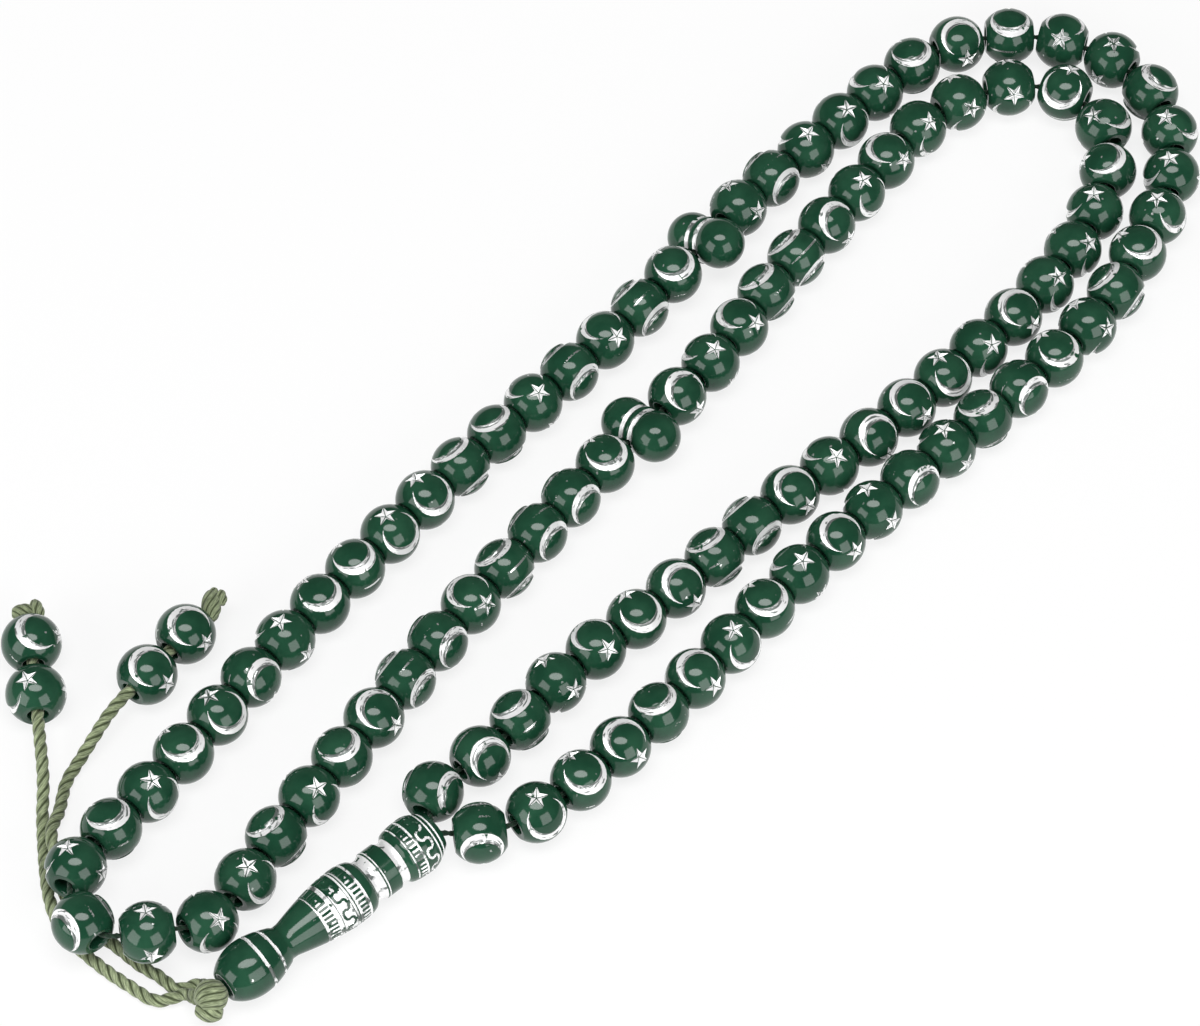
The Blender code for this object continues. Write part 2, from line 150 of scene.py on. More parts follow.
FLOOR_SIZE = 6.0
FLOOR_WHITE = (0.90, 0.90, 0.90, 1.0)
FLOOR_GLOW_SHARE = 0.82
WORLD_LIGHT = 0.11
LAMP_DISTANCE = 1.2
OVERHEAD_BRIGHTNESS = 5.6
FRONT_BRIGHTNESS = 3.5

floor_mesh = bpy.data.meshes.new("table_top")
half_floor = FLOOR_SIZE / 2
floor_corners = [(x * half_floor, y * half_floor, 0.0) for x, y in ((-1, -1), (1, -1), (1, 1), (-1, 1))]
floor_mesh.from_pydata(floor_corners, [], [(0, 1, 2, 3)])
floor = bpy.data.objects.new("table_top", floor_mesh)
bpy.context.scene.collection.objects.link(floor)

floor_material, floor_shade, floor_shader = new_material("table_white")
floor_shader.inputs["Base Color"].default_value = FLOOR_WHITE
floor_shader.inputs["Roughness"].default_value = 0.9
floor_shader.inputs["Specular IOR Level"].default_value = 0.1
seen = floor_shade.node("ShaderNodeLightPath", {}, {}, "Is Camera Ray")
mirrored = floor_shade.node("ShaderNodeLightPath", {}, {}, "Is Glossy Ray")
passed = floor_shade.node("ShaderNodeLightPath", {}, {}, "Is Transmission Ray")
glow = floor_shade.node("ShaderNodeEmission", {}, {"Color": (1, 1, 1, 1), "Strength": 1.0})
lit = Shade(floor_material.node_tree, floor_shader.outputs[0])
share = (seen + mirrored + passed) * FLOOR_GLOW_SHARE
floor_look = floor_shade.node("ShaderNodeMixShader", {}, {0: share, 1: lit, 2: glow})
floor_look.into(floor_material.node_tree.nodes["Material Output"], "Surface")
floor_mesh.materials.append(floor_material)

world = bpy.data.worlds.new("studio")
bpy.context.scene.world = world
world.use_nodes = True
world.node_tree.nodes["Background"].inputs["Color"].default_value = (1, 1, 1, 1)
world.node_tree.nodes["Background"].inputs["Strength"].default_value = WORLD_LIGHT


def add_softbox(name, shape, across, tall, brightness, heading, elevation):
    """Hang one softbox that faces the strand. Its angles are in degrees, as the strand sees it."""
    heading = CAMERA_HEADING + math.pi + math.radians(heading)
    elevation = math.radians(elevation)
    data = bpy.data.lights.new(name, "AREA")
    data.shape = shape
    data.size = 2 * LAMP_DISTANCE * math.tan(math.radians(across / 2))
    data.size_y = 2 * LAMP_DISTANCE * math.tan(math.radians(tall / 2))
    data.energy = brightness * math.pi * data.size * data.size_y
    level = Vector((math.cos(heading), math.sin(heading), 0.0))
    away = level * math.cos(elevation) + UP * math.sin(elevation)
    aside = UP.cross(level)
    lamp = bpy.data.objects.new(name, data)
    lamp_turn = Matrix((aside, away.cross(aside), away)).transposed().to_4x4()
    lamp.matrix_world = Matrix.Translation(away * LAMP_DISTANCE) @ lamp_turn
    bpy.context.scene.collection.objects.link(lamp)


add_softbox("overhead", "ELLIPSE", 48, 26, OVERHEAD_BRIGHTNESS, 0, 80)
add_softbox("front_left", "RECTANGLE", 38, 38, FRONT_BRIGHTNESS, -50, 23)
add_softbox("front_right", "RECTANGLE", 36, 38, FRONT_BRIGHTNESS, 38, 24)

# Main string
# One thin dark green thread that carries every bead and both markers, both ends drawn into the head piece.
# It lies along the same route as the solids, and the beads are threaded by the same rule.
CLEARANCE = 0.3 * MM
BEAD_DIAMETER = 8.0 * MM
BEAD_LENGTH = 6.75 * MM
BEADS_IN_GROUP = 33
BEAD_COUNT = 99
STRING_DIAMETER = 0.8 * MM
TAIL_CORD_DIAMETER = 1.5 * MM
MARKER_BALL_DIAMETER = 7.0 * MM
MARKER_GROOVE_DIAMETER = 6.1 * MM
MARKER_GROOVE_LENGTH = 0.4 * MM
MARKER_RING_DIAMETER = 6.6 * MM
MARKER_RING_LENGTH = 1.0 * MM
ROUTE_STEP = 0.05 * MM
STRING_ROUTE = [
    (-56.9, -18.4, 0), (-53.2, -22.2, 0), (-47.0, -24.9, 0), (-40.0, -25.7, 0), (-25.0, -25.7, 0),
    (-10.0, -24.9, 0), (4.5, -23.7, 0), (19.0, -23.6, 0), (33.5, -23.8, 0), (48.0, -24.0, 0),
    (62.5, -23.4, 0), (70.0, -21.9, 0), (77.3, -19.5, 0), (84.3, -17.0, 0), (91.0, -12.9, 0),
    (95.7, -7.5, 0), (98.5, -0.5, 0), (98.2, 7.1, 0), (95.0, 14.3, 0), (89.8, 19.9, 0),
    (82.4, 23.7, 0), (74.3, 24.8, 0), (60.0, 24.8, 0), (47.0, 24.5, 0.1), (33.2, 23.0, 0.35),
    (19.5, 21.7, 0.1), (5.0, 21.0, 0), (-9.5, 20.6, 0), (-24.0, 19.6, 0), (-39.0, 18.1, 0),
    (-53.0, 16.4, 0), (-67.5, 14.0, 0), (-82.0, 11.8, 0.1), (-89.3, 10.7, 0.5), (-96.0, 7.9, 1),
    (-98.2, 0.8, 1), (-92.8, -4.5, 1), (-85.8, -7.7, 0.3), (-79.0, -6.1, 0), (-64.0, -2.7, 0),
    (-50.0, 0.0, 0), (-36.0, 2.6, 0), (-21.5, 4.6, 0), (-7.0, 6.3, 0.1), (7.1, 7.4, 0.12),
    (20.7, 8.5, 0.1), (35.0, 11.6, 0), (49.0, 13.6, 0), (63.0, 15.5, 0), (71.0, 16.2, 0),
    (78.5, 15.1, 0), (85.2, 11.7, 0), (89.6, 5.5, 0), (88.8, -1.8, 0), (83.8, -7.3, 0),
    (77.2, -10.9, 0), (70.3, -13.2, 0), (56.0, -15.3, 0), (41.5, -15.5, 0), (26.5, -15.1, 0),
    (12.5, -14.1, 0), (-3.0, -13.9, 0), (-17.5, -13.4, 0), (-32.0, -13.1, 0), (-46.5, -13.9, 0),
    (-53.2, -13.6, 0), (-56.9, -17.3, 0),
]

bead_radius = BEAD_DIAMETER / 2
bead_half = BEAD_LENGTH / 2
cord_radius = TAIL_CORD_DIAMETER / 2
ball_radius = MARKER_BALL_DIAMETER / 2
groove_radius = MARKER_GROOVE_DIAMETER / 2
ball_rise = math.sqrt(ball_radius ** 2 - groove_radius ** 2)
ball_height = MARKER_RING_LENGTH / 2 + MARKER_GROOVE_LENGTH + ball_rise
marker_reach = math.sqrt((ball_radius + bead_radius + CLEARANCE) ** 2 - ball_height ** 2)


def smooth_route(points, step):
    """Sample the natural cubic curve through points, at even steps."""
    points = np.array(points)
    span = np.linalg.norm(np.diff(points, axis=0), axis=1)
    mark = np.concatenate(([0.0], np.cumsum(span)))
    slope = np.diff(points, axis=0) / span[:, None]
    system = np.eye(len(points))
    pull = np.zeros_like(points)
    for i in range(1, len(points) - 1):
        system[i, i - 1:i + 2] = span[i - 1], 2 * (span[i - 1] + span[i]), span[i]
        pull[i] = 6 * (slope[i] - slope[i - 1])
    bend = np.linalg.solve(system, pull)
    along = np.linspace(0, mark[-1], int(mark[-1] / step) + 1)
    k = np.clip(np.searchsorted(mark, along, side="right") - 1, 0, len(span) - 1)
    ahead = ((along - mark[k]) / span[k])[:, None]
    behind = 1 - ahead
    straight = behind * points[k] + ahead * points[k + 1]
    sway = (behind ** 3 - behind) * bend[k] + (ahead ** 3 - ahead) * bend[k + 1]
    return straight + sway * span[k][:, None] ** 2 / 6


def next_bead(here, gap):
    """Find the next bead's station: the nearest where the two flat ends keep a gap, also in a bend."""
    reach = slice(here + 1, here + 1 + int(2 * BEAD_DIAMETER / ROUTE_STEP))
    chord = path[reach] - path[here]
    distance = np.linalg.norm(chord, axis=1)
    heading = chord / distance[:, None]
    cosine = np.minimum(heading @ ways[here], np.sum(heading * ways[reach], axis=1)).clip(0, 1)
    meeting_radius = np.sqrt(np.maximum(0, bead_radius ** 2 - distance ** 2 / 4))
    inner_edge = distance / 2 * cosine - meeting_radius * np.sqrt(1 - cosine ** 2)
    clear = (inner_edge >= bead_half + gap / 2) | (distance >= BEAD_DIAMETER + gap)
    return here + 1 + int(np.argmax(clear)) if clear.any() else None


def at_distance(here, distance):
    """Find the next station that lies a straight distance away."""
    far = np.linalg.norm(path[here:] - path[here], axis=1) >= distance
    return here + int(np.argmax(far)) if far.any() else None


def thread(gap):
    """Thread every bead along the string, or give None where the string is too short."""
    beads = [first_station]
    while len(beads) < BEAD_COUNT:
        here = beads[-1]
        if len(beads) % BEADS_IN_GROUP == 0:
            here = at_distance(here, marker_reach)
            here = None if here is None else at_distance(here, marker_reach)
        else:
            here = next_bead(here, gap)
        if here is None:
            return None
        beads.append(here)
    return beads


strand_lift = TAIL_CORD_DIAMETER + 2 * CLEARANCE
route_points = [(x * MM, y * MM, bead_radius + lift * strand_lift) for x, y, lift in STRING_ROUTE]
path = smooth_route(route_points, ROUTE_STEP)
path[:, 2] = np.maximum(path[:, 2], bead_radius)
ways = np.gradient(path, axis=0)
ways /= np.linalg.norm(ways, axis=1)[:, None]
first_station, last_station = (
    int(np.argmin(np.linalg.norm(path - route_points[i], axis=1))) for i in (1, -2)
)
low_gap = CLEARANCE
high_gap = BEAD_LENGTH
for _ in range(24):
    gap = (low_gap + high_gap) / 2
    threaded = thread(gap)
    if threaded and threaded[-1] <= last_station:
        low_gap = gap
    else:
        high_gap = gap
bead_stations = thread(low_gap)


def surface(places, faces, corner_normals, corner_coords, slots):
    """Hold one piece of surface as arrays, to be placed and joined with others."""
    return {
        "places": np.array(places, float),
        "faces": faces,
        "normals": np.array(corner_normals, float),
        "coords": np.array(corner_coords, float),
        "slots": list(slots),
    }


def smooth_corners(places, faces):
    """Give each face corner the smooth normal of its vertex."""
    places = np.array(places, float)
    normals = np.zeros_like(places)
    for face in faces:
        a, b, c = places[face[0]], places[face[1]], places[face[-1]]
        d = places[face[2]]
        normals[list(face)] += np.cross(d - a, c - b)
    normals /= np.maximum(np.linalg.norm(normals, axis=1), 1e-12)[:, None]
    return normals[[vertex for face in faces for vertex in face]]


def rope(points, radius, plies, pitch, sides, slot=0):
    """Sweep a laid cord of several plies along points. Coords run along it in mm, round it in plies."""
    points = np.array(points, float)
    radii = np.broadcast_to(radius, len(points))
    tangents = np.gradient(points, axis=0)
    tangents /= np.linalg.norm(tangents, axis=1)[:, None]
    run = np.concatenate(([0.0], np.cumsum(np.linalg.norm(np.diff(points, axis=0), axis=1))))
    side = Vector(tangents[0]).orthogonal().normalized()
    turns = np.arange(sides) / sides * 2 * math.pi
    from_ply = (turns * plies / (2 * math.pi) + 0.5) % 1.0 - 0.5
    from_ply *= 2 * math.pi / plies
    hub = 1.0 / (1.0 + 2.2 * math.sin(math.pi / plies))
    ply = 1.0 - hub
    reach = hub * np.cos(from_ply) + np.sqrt(ply ** 2 - (hub * np.sin(from_ply)) ** 2)
    places = []
    for point, tangent, along, wide in zip(points, tangents, run, radii):
        tangent = Vector(tangent)
        side = (side - tangent * side.dot(tangent)).normalized()
        other = tangent.cross(side)
        angles = turns + along / pitch * 2 * math.pi
        ring = np.outer(np.cos(angles), side) + np.outer(np.sin(angles), other)
        places.append(point + ring * wide * reach[:, None])
    places = np.concatenate(places)
    faces = []
    coords = []
    for row in range(len(points) - 1):
        for k in range(sides):
            after = (k + 1) % sides
            low = row * sides
            high = low + sides
            faces.append((low + k, low + after, high + after, high + k))
            here, there = run[row] / MM, run[row + 1] / MM
            near, far = k * plies / sides, (k + 1) * plies / sides
            coords += [(here, near), (here, far), (there, far), (there, near)]
    ends = ((range(sides - 1, -1, -1), 0), (range(sides), len(places) - sides))
    for order, start in ends:
        faces.append(tuple(start + k for k in order))
        coords += [(0.0, 0.0)] * sides
    return surface(places, faces, smooth_corners(places, faces), coords, [slot] * len(faces))


def add_piece(name, surfaces, materials):
    """Join surfaces into one named mesh with these materials."""
    places = np.concatenate([part["places"] for part in surfaces])
    faces = []
    start = 0
    for part in surfaces:
        faces += [tuple(start + vertex for vertex in face) for face in part["faces"]]
        start += len(part["places"])
    mesh = bpy.data.meshes.new(name)
    mesh.from_pydata(places.tolist(), [], faces)
    for material in materials:
        mesh.materials.append(material)
    mesh.polygons.foreach_set("material_index", [slot for part in surfaces for slot in part["slots"]])
    mesh.polygons.foreach_set("use_smooth", [True] * len(faces))
    layer = mesh.uv_layers.new(name="on_piece")
    layer.data.foreach_set("uv", np.concatenate([part["coords"] for part in surfaces]).ravel())
    mesh.normals_split_custom_set(np.concatenate([part["normals"] for part in surfaces]).tolist())
    piece = bpy.data.objects.new(name, mesh)
    bpy.context.scene.collection.objects.link(piece)
    return piece


def laid_cord_material(name, colour, shadow, fibre_depth):
    """Make a matt laid cord: fibres along its plies, lighter on the crowns, with painted shade between them.
    """
    material, start, shader = new_material(name)
    along = start.node("ShaderNodeUVMap", {"uv_map": "on_piece"}, {})
    round_it = start.node("ShaderNodeSeparateXYZ", {}, {0: along}, 1)
    place = start.node("ShaderNodeTexCoord", {}, {}, "Object")
    fibre = along.stretch(1.1, 13.0, 1.0).noise(1.0, 3.0)
    patch = place.noise(420.0, 2.0)
    # Painted shade: the valleys between the plies take the shadow colour, the crowns the cord's own colour.
    crown = start.math("ABSOLUTE", start.math("FRACT", round_it) - 0.5).step(0.02, 0.24)
    tone = crown * (fibre.step(0.35, 0.65) * 0.7 + patch.step(0.3, 0.7) * 0.2 + 0.10)
    tone.blend(shadow, colour).into(shader, "Base Color")
    (0.75 + fibre * 0.2).into(shader, "Roughness")
    fibre.bump(0.8, fibre_depth).into(shader, "Normal")
    shader.inputs["Specular IOR Level"].default_value = 0.25
    shader.inputs["Sheen Weight"].default_value = 0.25
    shader.inputs["Sheen Roughness"].default_value = 0.5
    return material


STRING_PITCH = 1.8 * MM
STRING_SAMPLES = 8
# The thread's own colour, and the painted shade between its plies
STRING_COLOUR = (0.020, 0.055, 0.030, 1)
STRING_SHADOW = (0.008, 0.022, 0.012, 1)
STRING_FIBRE_DEPTH = 0.00003
string_green = laid_cord_material("string_green", STRING_COLOUR, STRING_SHADOW, STRING_FIBRE_DEPTH)


# Counting beads
# 99 moulded balls of glossy dark green plastic with flat ends and a wide bore, threaded on the string.
# Opposite sides carry a raised dome in a silvered crescent groove, each with a silvered cut star beside it.
BEAD_BORE = 2.7 * MM
DOME_LONGITUDE = 90.0
DOME_REACH = 36.0
CRESCENT_REACH = 45.5
CRESCENT_SHIFT = 13.0
CRESCENT_DEPTH = 0.34 * MM
CRESCENT_ROWS = ((0.12, 0.80), (0.34, 1.0), (0.66, 0.62), (0.88, 0.20))
CRESCENT_COLUMNS = 23
STAR_LONGITUDE = 47.0
STAR_REACH = 25.0
STAR_NOTCH = 9.6
STAR_DEPTH = 0.48 * MM
BEAD_COLUMNS = 40
BEAD_ROWS = 12
BEAD_EDGE_LATITUDE = 55.0
# Turn of each bead on the string, as far as its ornament shows: degrees of its front from the viewer
BEAD_TURNS = [
    145, -75, -110, 90, -140, 85, -65, -120, 30, 90, 0,
    140, 10, -150, 145, -115, -15, -170, -110, -70, 30, -55,
    145, -20, -50, 140, -90, 135, -45, 55, -25, -155, 10,
    120, -170, -60, -160, -40, 150, 165, 95, 80, 125, 120,
    -15, -135, 85, 120, 55, 135, -15, 145, 0, -45, -55,
    -155, -45, -130, 95, 165, 150, 70, -165, 155, 150, -120,
    105, 35, 70, -160, -175, 115, -55, 75, -40, -20, -25,
    -100, 65, 120, -25, 30, 40, -90, 35, 90, -85, -110,
    -40, -90, -165, 165, -100, 110, -60, 10, 155, -120, -150,
]


def on_ball(longitude, latitude):
    """Give the unit vector at a longitude about the bore and a latitude, in degrees."""
    longitude = np.radians(longitude)
    latitude = np.radians(latitude)
    level = np.cos(latitude)
    return np.stack([level * np.cos(longitude), level * np.sin(longitude), np.sin(latitude)], axis=-1)


def round_about(centre, reach, turn, side):
    """Give the longitude and latitude at an angle from a centre on the equator, turn 0 being backwards."""
    middle = on_ball(centre * side, 0.0)
    backwards = np.array([-middle[1], middle[0], 0.0]) * side
    reach = math.radians(reach)
    turn = math.radians(turn)
    aside = backwards * math.cos(turn) + np.array([0.0, 0.0, 1.0]) * math.sin(turn)
    x, y, z = middle * math.cos(reach) + aside * math.sin(reach)
    return math.degrees(math.atan2(y, x)), math.degrees(math.asin(z))


def crescent_width(turn):
    """Give how many degrees wide the crescent is at a turn about its dome."""
    shift = math.radians(CRESCENT_SHIFT)
    level = math.cos(shift)
    slant = math.sin(shift) * math.cos(math.radians(turn))
    reach = math.acos(math.cos(math.radians(CRESCENT_REACH)) / math.hypot(level, slant))
    outer = math.atan2(slant, level) + reach
    return math.degrees(outer) - DOME_REACH


def bead_surface():
    """Model one bead about its bore, with its front between the stars towards X."""
    points = []
    depths = []
    regions = []
    silver_coords = []
    lines = []

    def add_point(longitude, latitude, depth=0.0, region=0, silver_coord=(0.0, 0.5)):
        points.append((longitude, latitude))
        depths.append(depth)
        regions.append(region)
        silver_coords.append(silver_coord)
        return len(points) - 1

    horn_turn = 0.0
    while crescent_width(horn_turn + 0.05) > 0:
        horn_turn += 0.05
    turns = np.linspace(-horn_turn, horn_turn, CRESCENT_COLUMNS + 2)[1:-1]
    widest = crescent_width(0.0)
    for side in (1, -1):
        tips = [
            add_point(*round_about(DOME_LONGITUDE, DOME_REACH, turn, side))
            for turn in (-horn_turn, horn_turn)
        ]
        for share, depth_share in ((0.0, 0.0), *CRESCENT_ROWS, (1.0, 0.0)):
            row = []
            for turn in turns:
                width = crescent_width(turn)
                place = round_about(DOME_LONGITUDE, DOME_REACH + share * width, turn, side)
                depth = CRESCENT_DEPTH * depth_share * (width / widest) ** 0.7
                row.append(add_point(*place, depth, 1, (turn, share)))
            if depth_share == 0.0:
                row = [tips[0], *row, tips[1]]
            lines += list(zip(row[:-1], row[1:]))
        star = []
        for k in range(10):
            reach, across = (STAR_NOTCH, 0.5) if k % 2 else (STAR_REACH, 1.0)
            corner = round_about(STAR_LONGITUDE, reach, 36 * k, side)
            star.append(add_point(*corner, silver_coord=(reach, across)))
        middle = add_point(STAR_LONGITUDE * side, 0.0, STAR_DEPTH, 2, (0.0, 1.0))
        lines += list(zip(star, star[1:] + star[:1]))
        lines += [(middle, corner) for corner in star]
        for k in range(5):
            add_point(*round_about(STAR_LONGITUDE, 0.8 * STAR_REACH, 36 + 72 * k, side))

    ornament = on_ball(*np.array(points).T)
    spacing = 360.0 / BEAD_COLUMNS
    for latitude in np.linspace(-BEAD_EDGE_LATITUDE, BEAD_EDGE_LATITUDE, BEAD_ROWS + 1):
        for longitude in np.linspace(-180, 180, BEAD_COLUMNS + 1):
            here = on_ball(longitude, latitude)
            edge = abs(longitude) == 180 or abs(latitude) == BEAD_EDGE_LATITUDE
            crowded = np.max(ornament @ here) > math.cos(math.radians(0.55 * spacing))
            covered = False
            for side in (1, -1):
                from_dome = math.degrees(math.acos(here @ on_ball(DOME_LONGITUDE * side, 0.0)))
                outer = on_ball((DOME_LONGITUDE + CRESCENT_SHIFT) * side, 0.0)
                in_outer = math.degrees(math.acos(here @ outer)) < CRESCENT_REACH
                in_star = here @ on_ball(STAR_LONGITUDE * side, 0.0) > math.cos(math.radians(STAR_REACH))
                covered = covered or in_star or (in_outer and from_dome > DOME_REACH)
            if edge or not (crowded or covered):
                add_point(longitude, latitude)

    flat, _, triangles, sources, _, _ = delaunay_2d_cdt(
        [Vector(point) for point in points], lines, [], 0, 0.0001
    )
    flat = np.array(flat)
    depth = np.array([depths[source[0]] for source in sources])
    region = np.array([regions[source[0]] for source in sources])
    places = on_ball(flat[:, 0], flat[:, 1]) * (bead_radius - depth)[:, None]
    seam = {round(latitude, 3): i for i, (longitude, latitude) in enumerate(flat) if longitude < -179.9}
    joined = [
        seam[round(latitude, 3)] if longitude > 179.9 else i
        for i, (longitude, latitude) in enumerate(flat)
    ]
    faces = []
    coords = []
    slots = []
    kinds = []
    for triangle in triangles:
        a, b, c = triangle
        ab = flat[b] - flat[a]
        ac = flat[c] - flat[a]
        if ab[0] * ac[1] - ab[1] * ac[0] < 0:
            triangle = (a, c, b)
        kind = max((int(region[i]) for i in triangle if depth[i] > 0), default=0)
        faces.append(tuple(joined[i] for i in triangle))
        coords += [silver_coords[sources[i][0]] if kind else tuple(flat[i]) for i in triangle]
        kinds.append(kind)
        slots.append(1 if kind else 0)

    groove_normals = np.zeros_like(places)
    flat_normals = []
    for face, kind in zip(faces, kinds):
        a, b, c = places[list(face)]
        normal = np.cross(b - a, c - a)
        flat_normals.append(normal / max(np.linalg.norm(normal), 1e-15))
        if kind == 1:
            groove_normals[list(face)] += normal
    normals = []
    for face, kind, flat_normal in zip(faces, kinds, flat_normals):
        for vertex in face:
            if kind == 0:
                normal = places[vertex]
            elif kind == 1:
                normal = groove_normals[vertex]
            else:
                normal = flat_normal
            normals.append(normal / np.linalg.norm(normal))

    # The ends: a rounded rim, the flat, a rounded mouth and the bore, as rings of (radius, height, normal)
    bore = BEAD_BORE / 2
    edge = math.radians(BEAD_EDGE_LATITUDE)
    rings = [
        (bead_radius * math.cos(edge), bead_radius * math.sin(edge), edge),
        (2.20 * MM, 3.335 * MM, math.radians(64)),
        (2.11 * MM, bead_half - 0.006 * MM, math.radians(80)),
        (2.02 * MM, bead_half, math.radians(90)),
        (bore + 0.28 * MM, bead_half, math.radians(90)),
        (bore + 0.10 * MM, bead_half - 0.07 * MM, math.radians(125)),
        (bore, bead_half - 0.27 * MM, math.radians(175)),
        (bore, 0.0, math.radians(180)),
    ]
    longitudes = np.linspace(-180, 180, BEAD_COLUMNS + 1)[:-1]
    places = list(places)
    for end in (1, -1):
        rim = {}
        for i, (longitude, latitude) in enumerate(flat):
            if abs(latitude - end * BEAD_EDGE_LATITUDE) < 0.001 and longitude < 179.9:
                rim[round(longitude, 2)] = i
        before = [rim[round(longitude, 2)] for longitude in longitudes]
        for inner, outer in zip(rings[1:], rings[:-1]):
            radius, height, _ = inner
            ring = []
            for longitude in longitudes:
                turn = math.radians(longitude)
                places.append((radius * math.cos(turn), radius * math.sin(turn), end * height))
                ring.append(len(places) - 1)
            for k in range(BEAD_COLUMNS):
                after = (k + 1) % BEAD_COLUMNS
                corners = [(k, outer, before), (after, outer, before)]
                corners += [(after, inner, ring), (k, inner, ring)]
                if end < 0:
                    corners.reverse()
                faces.append(tuple(ids[column] for column, _, ids in corners))
                slots.append(0)
                for column, (_, _, lean), _ in corners:
                    normals.append(on_ball(longitudes[column], end * math.degrees(lean)))
                    coords.append((longitudes[column], end * 60.0))
            before = ring
    return surface(places, faces, normals, coords, slots)


bead = bead_surface()


def bead_frame(place, axis, degrees):
    """Give the matrix of a bead on a string along axis, its front turned by degrees from the viewer."""
    axis = Vector(axis).normalized()
    facing = -camera_look
    facing = (facing - axis * facing.dot(axis)).normalized()
    aside = axis.cross(facing)
    front = facing * math.cos(math.radians(degrees)) + aside * math.sin(math.radians(degrees))
    turn = Matrix((front, axis.cross(front), axis)).transposed()
    return Matrix.Translation(Vector(place)) @ turn.to_4x4()


def placed(part, matrix):
    """Give a copy of a surface at its place."""
    matrix = np.array(matrix)
    return {
        **part,
        "places": part["places"] @ matrix[:3, :3].T + matrix[:3, 3],
        "normals": part["normals"] @ matrix[:3, :3].T,
    }


def moulded_green():
    """Make the beads' glossy plastic: faint clouding, stray silver flecks and a silvered mould seam."""
    material, start, shader = new_material("moulded_green")
    place = start.node("ShaderNodeTexCoord", {}, {}, "Object")
    on_bead = start.node("ShaderNodeUVMap", {"uv_map": "on_piece"}, {})
    longitude = start.node("ShaderNodeSeparateXYZ", {}, {0: on_bead}, 0)
    cloud = place.noise(260.0, 3.0)
    green = cloud.step(0.3, 0.7).blend((0.007, 0.046, 0.023, 1), (0.016, 0.070, 0.037, 1))
    polish = place.noise(2600.0, 2.0)
    cells = {"Vector": place.stretch(1.0, 1.0, 0.6), "Scale": 900.0, "Randomness": 1.0}
    near = start.node("ShaderNodeTexVoronoi", {}, cells, "Distance")
    which = start.node("ShaderNodeTexVoronoi", {}, cells, "Color")
    chance = start.node("ShaderNodeSeparateColor", {}, {0: which}, 0)
    rough_edge = place.noise(4200.0, 2.0)
    fleck = (near + rough_edge * 0.40).step(0.34, 0.30) * chance.step(0.82, 0.94) * 0.8
    worn = rough_edge * 0.3 + place.noise(240.0, 1.0) * 0.7
    seam = start.math("ABSOLUTE", longitude).step(177.8, 178.4) * worn.step(0.54, 0.58)
    bright = start.math("MAXIMUM", fleck, seam)
    bright.blend(green, (0.80, 0.81, 0.80, 1)).into(shader, "Base Color")
    (bright * 0.9).into(shader, "Metallic")
    (0.07 + polish * 0.06 + bright * 0.15).into(shader, "Roughness")
    polish.bump(0.05, 0.00002).into(shader, "Normal")
    shader.inputs["IOR"].default_value = 1.47
    return material


def silver_foil(name, edged):
    """Make stamped silver: bright and wrinkled, with darker streaks of painted reflection, and rubbed
    through to the green in spots.

    Where edged, it streaks along each groove by its coords, paints shade on the groove's inner wall and
    leaves thin bare green at the edges."""
    material, start, shader = new_material(name)
    place = start.node("ShaderNodeTexCoord", {}, {}, "Object")
    wrinkle = place.noise(1500.0, 3.0)
    rub = place.noise(900.0, 4.0)
    bare = (rub * 0.7 + place.noise(380.0, 1.0) * 0.3).step(0.595, 0.65)
    if edged:
        groove = start.node("ShaderNodeUVMap", {"uv_map": "on_piece"}, {})
        across = start.node("ShaderNodeSeparateXYZ", {}, {0: groove}, 1)
        course = {0: groove.stretch(0.030, 5.0, 1.0), 1: place.stretch(190.0, 190.0, 190.0)}
        # Painted reflection: darker streaks along the groove, as of dark surroundings mirrored in the foil.
        reflection_streak = start.node("ShaderNodeVectorMath", {"operation": "ADD"}, course).noise(1.0, 2.0)
        edge = start.math("ABSOLUTE", across - 0.5) + (rub - 0.5) * 0.10
        bare = start.math("MAXIMUM", bare, edge.step(0.41, 0.46))
        # Painted shade: the steep inner wall of the groove, next to the dome, is darkened.
        inner_wall_shade = (across + (wrinkle - 0.5) * 0.10).step(0.46, 0.38) * reflection_streak.step(0.62, 0.48)
        painted_dark = start.math("MAXIMUM", reflection_streak.step(0.59, 0.65), inner_wall_shade)
    else:
        # Painted reflection: darker streaks across the foil.
        reflection_streak = place.noise(620.0, 3.0)
        painted_dark = reflection_streak.step(0.55, 0.63)
    # The darker colour is painted reflection, and where edged also painted shade on the groove's inner wall.
    tone = painted_dark.blend((0.97, 0.97, 0.97, 1), (0.16, 0.18, 0.17, 1))
    bare.blend(tone, (0.012, 0.060, 0.030, 1)).into(shader, "Base Color")
    (0.28 - bare * 0.28).into(shader, "Metallic")
    (0.19 + wrinkle * 0.12 - bare * 0.08).into(shader, "Roughness")
    (wrinkle * 0.6 + reflection_streak * 0.4).bump(0.5, 0.00010).into(shader, "Normal")
    return material


bead_green = moulded_green()
bead_silver = silver_foil("silver_foil", True)
joint_of = {joint["child"]: joint for joint in frame["joints"]}

